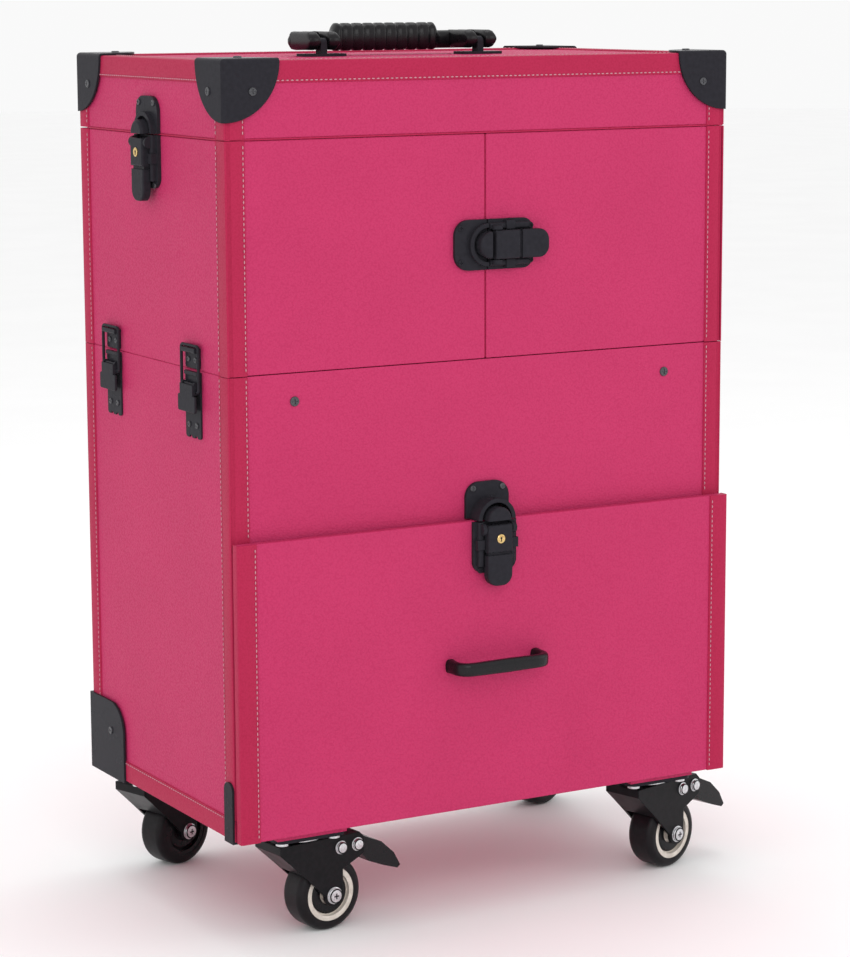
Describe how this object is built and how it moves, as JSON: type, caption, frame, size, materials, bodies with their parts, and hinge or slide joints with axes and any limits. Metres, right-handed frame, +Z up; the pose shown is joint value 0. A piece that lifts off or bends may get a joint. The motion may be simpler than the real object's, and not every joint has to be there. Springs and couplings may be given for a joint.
{
  "type": "beauty trolley case",
  "caption": "Upright rolling case in pink leather: lidded top, double-door cabinet, deep lower drawer, black latches and clasps, folding handle, braked swivel casters.",
  "frame": {"origin": "on the floor, under the middle of the whole object's box with everything at rest", "axes": "+Z up, -Y the front with the doors and the drawer, +X to the right seen from the front"},
  "size_m": [0.4412, 0.2782, 0.6298],
  "materials": {
    "pink_leather": "litchi-grain PU leather, satin",
    "pink_binding": "smooth PU strip with a pale stitch line",
    "drawer_board": "lined with dark cloth",
    "black_metal": "satin black",
    "black_plastic": "satin moulded",
    "zinc_steel": "zinc plated",
    "dark_screw": "blackened",
    "tyre_rubber": "smooth",
    "cream_hub": "moulded, ring of the hub shows"
  },
  "bodies": {
    "case": {"lower_case_boards": "pink_leather", "fascia_panel": "pink_leather", "upper_case_boards": "pink_leather", "case_bindings": "pink_binding", "base_corner_guards": "black_metal", "caster_plates": "black_metal", "caster_bolts": "zinc_steel", "slide_outer_members": "zinc_steel", "clasp_plates": "black_metal", "lid_latch_bases": "black_metal", "drawer_latch_catch": "black_metal", "case_screws": "dark_screw", "lid_hinge_case_leaf": "black_metal"},
    "lid": {"lid_shell": "pink_leather", "lid_bindings": "pink_binding", "lid_corner_guards": "black_metal", "lid_screws": "dark_screw", "lid_latch_catches": "black_metal", "lid_hinge_lid_leaf": "black_metal", "handle_plates": "black_metal"},
    "carry_handle": {"carry_handle": "black_plastic"},
    "door_left": {"door_left_panel": "pink_leather", "door_left_binding": "pink_binding", "door_latch_catch": "black_metal"},
    "door_right": {"door_right_panel": "pink_leather", "door_right_binding": "pink_binding", "door_latch_base": "black_metal"},
    "door_latch_lever": {"door_latch_lever": "black_metal"},
    "drawer_latch_lever": {"drawer_latch_lever": "black_metal"},
    "lid_latch_lever_left": {"lid_latch_lever_left": "black_metal"},
    "lid_latch_lever_right": {"lid_latch_lever_right": "black_metal"},
    "drawer": {"drawer_box": "drawer_board", "drawer_front": "pink_leather", "drawer_front_bindings": "pink_binding", "drawer_pull": "black_plastic", "drawer_latch_base": "black_metal", "slide_inner_members": "zinc_steel"},
    "slide_middle": {"slide_middle_members": "zinc_steel"},
    "clasp_lever_rear_left": {"clasp_lever_rear_left": "black_metal"},
    "clasp_loop_rear_left": {"clasp_loop_rear_left": "black_metal"},
    "clasp_lever_rear_right": {"clasp_lever_rear_right": "black_metal"},
    "clasp_loop_rear_right": {"clasp_loop_rear_right": "black_metal"},
    "clasp_lever_front_left": {"clasp_lever_front_left": "black_metal"},
    "clasp_loop_front_left": {"clasp_loop_front_left": "black_metal"},
    "clasp_lever_front_right": {"clasp_lever_front_right": "black_metal"},
    "clasp_loop_front_right": {"clasp_loop_front_right": "black_metal"},
    "fork_front_left": {"caster_fork_front_left": "black_metal"},
    "wheel_front_left": {"caster_tyre_front_left": "tyre_rubber", "caster_hub_front_left": "cream_hub"},
    "brake_pedal_front_left": {"brake_pedal_front_left": "black_plastic"},
    "fork_front_right": {"caster_fork_front_right": "black_metal"},
    "wheel_front_right": {"caster_tyre_front_right": "tyre_rubber", "caster_hub_front_right": "cream_hub"},
    "brake_pedal_front_right": {"brake_pedal_front_right": "black_plastic"},
    "fork_rear_left": {"caster_fork_rear_left": "black_metal"},
    "wheel_rear_left": {"caster_tyre_rear_left": "tyre_rubber", "caster_hub_rear_left": "black_plastic"},
    "fork_rear_right": {"caster_fork_rear_right": "black_metal"},
    "wheel_rear_right": {"caster_tyre_rear_right": "tyre_rubber", "caster_hub_rear_right": "black_plastic"}
  },
  "joints": [
    {"name": "lid_hinge", "type": "hinge", "parent": "case", "child": "lid", "pos_m": [-0.01082, 0.13248, 0.556], "axis": [-1, 0, 0], "range_deg": [0, 100]},
    {"name": "carry_handle_fold", "type": "hinge", "parent": "lid", "child": "carry_handle", "pos_m": [-0.01082, 0.01068, 0.6158], "axis": [1, 0, 0], "range_deg": [0, 90]},
    {"name": "door_left_hinge", "type": "hinge", "parent": "case", "child": "door_left", "pos_m": [-0.21082, -0.10932, 0.4775], "axis": [0, 0, -1], "range_deg": [0, 180]},
    {"name": "door_right_hinge", "type": "hinge", "parent": "case", "child": "door_right", "pos_m": [0.18918, -0.10932, 0.4775], "axis": [0, 0, 1], "range_deg": [0, 180]},
    {"name": "door_latch_lift", "type": "hinge", "parent": "door_right", "child": "door_latch_lever", "pos_m": [-0.00532, -0.11462, 0.47907], "axis": [0, 0, -1], "range_deg": [0, 75]},
    {"name": "drawer_latch_lift", "type": "hinge", "parent": "drawer", "child": "drawer_latch_lever", "pos_m": [-0.01082, -0.12462, 0.2815], "axis": [-1, 0, 0], "range_deg": [0, 75]},
    {"name": "lid_latch_left_lift", "type": "hinge", "parent": "case", "child": "lid_latch_lever_left", "pos_m": [-0.21612, 0.01068, 0.5505], "axis": [0, 1, 0], "range_deg": [0, 75]},
    {"name": "lid_latch_right_lift", "type": "hinge", "parent": "case", "child": "lid_latch_lever_right", "pos_m": [0.19448, 0.01068, 0.5505], "axis": [0, -1, 0], "range_deg": [0, 75]},
    {"name": "drawer_slide", "type": "slide", "parent": "case", "child": "drawer", "axis": [0, -1, 0], "range_m": [0, 0.2]},
    {"name": "slide_middle_travel", "type": "slide", "parent": "case", "child": "slide_middle", "axis": [0, -1, 0], "range_m": [0, 0.1]},
    {"name": "clasp_lever_lift_rear_left", "type": "hinge", "parent": "case", "child": "clasp_lever_rear_left", "pos_m": [-0.21312, 0.07868, 0.3895], "axis": [0, 1, 0], "range_deg": [0, 100]},
    {"name": "clasp_loop_swing_rear_left", "type": "hinge", "parent": "clasp_lever_rear_left", "child": "clasp_loop_rear_left", "pos_m": [-0.21272, 0.07868, 0.3845], "axis": [0, 1, 0], "range_deg": [-100, 0]},
    {"name": "clasp_lever_lift_rear_right", "type": "hinge", "parent": "case", "child": "clasp_lever_rear_right", "pos_m": [0.19148, 0.07868, 0.3895], "axis": [0, -1, 0], "range_deg": [0, 100]},
    {"name": "clasp_loop_swing_rear_right", "type": "hinge", "parent": "clasp_lever_rear_right", "child": "clasp_loop_rear_right", "pos_m": [0.19108, 0.07868, 0.3845], "axis": [0, -1, 0], "range_deg": [-100, 0]},
    {"name": "clasp_lever_lift_front_left", "type": "hinge", "parent": "case", "child": "clasp_lever_front_left", "pos_m": [-0.21312, -0.05432, 0.3895], "axis": [0, 1, 0], "range_deg": [0, 100]},
    {"name": "clasp_loop_swing_front_left", "type": "hinge", "parent": "clasp_lever_front_left", "child": "clasp_loop_front_left", "pos_m": [-0.21272, -0.05432, 0.3845], "axis": [0, 1, 0], "range_deg": [-100, 0]},
    {"name": "clasp_lever_lift_front_right", "type": "hinge", "parent": "case", "child": "clasp_lever_front_right", "pos_m": [0.19148, -0.05432, 0.3895], "axis": [0, -1, 0], "range_deg": [0, 100]},
    {"name": "clasp_loop_swing_front_right", "type": "hinge", "parent": "clasp_lever_front_right", "child": "clasp_loop_front_right", "pos_m": [0.19108, -0.05432, 0.3845], "axis": [0, -1, 0], "range_deg": [-100, 0]},
    {"name": "swivel_front_left", "type": "hinge", "parent": "case", "child": "fork_front_left", "pos_m": [-0.15082, -0.08532, 0.0689], "axis": [0, 0, 1], "continuous": true},
    {"name": "spin_front_left", "type": "hinge", "parent": "fork_front_left", "child": "wheel_front_left", "pos_m": [-0.13097, -0.08288, 0.0265], "axis": [-0.1219, 0.9925, 0], "continuous": true},
    {"name": "brake_front_left", "type": "hinge", "parent": "fork_front_left", "child": "brake_pedal_front_left", "pos_m": [-0.11112, -0.08045, 0.0604], "axis": [-0.1219, 0.9925, 0], "range_deg": [-14, 0]},
    {"name": "swivel_front_right", "type": "hinge", "parent": "case", "child": "fork_front_right", "pos_m": [0.14068, -0.08532, 0.0689], "axis": [0, 0, 1], "continuous": true},
    {"name": "spin_front_right", "type": "hinge", "parent": "fork_front_right", "child": "wheel_front_right", "pos_m": [0.1599, -0.07981, 0.0265], "axis": [-0.2756, 0.9613, 0], "continuous": true},
    {"name": "brake_front_right", "type": "hinge", "parent": "fork_front_right", "child": "brake_pedal_front_right", "pos_m": [0.17913, -0.07429, 0.0604], "axis": [-0.2756, 0.9613, 0], "range_deg": [-14, 0]},
    {"name": "swivel_rear_left", "type": "hinge", "parent": "case", "child": "fork_rear_left", "pos_m": [-0.17282, 0.10668, 0.0689], "axis": [0, 0, 1], "continuous": true},
    {"name": "spin_rear_left", "type": "hinge", "parent": "fork_rear_left", "child": "wheel_rear_left", "pos_m": [-0.1538, 0.11286, 0.0265], "axis": [-0.309, 0.9511, 0], "continuous": true},
    {"name": "swivel_rear_right", "type": "hinge", "parent": "case", "child": "fork_rear_right", "pos_m": [0.15118, 0.10668, 0.0689], "axis": [0, 0, 1], "continuous": true},
    {"name": "spin_rear_right", "type": "hinge", "parent": "fork_rear_right", "child": "wheel_rear_right", "pos_m": [0.16997, 0.11352, 0.0265], "axis": [-0.342, 0.9397, 0], "continuous": true}
  ],
  "couplings": [
    {"joint": "slide_middle_travel", "follows": "drawer_slide", "ratio": 0.5},
    {"joint": "clasp_loop_swing_rear_left", "follows": "clasp_lever_lift_rear_left", "ratio": -1},
    {"joint": "clasp_loop_swing_rear_right", "follows": "clasp_lever_lift_rear_right", "ratio": -1},
    {"joint": "clasp_loop_swing_front_left", "follows": "clasp_lever_lift_front_left", "ratio": -1},
    {"joint": "clasp_loop_swing_front_right", "follows": "clasp_lever_lift_front_right", "ratio": -1}
  ]
}
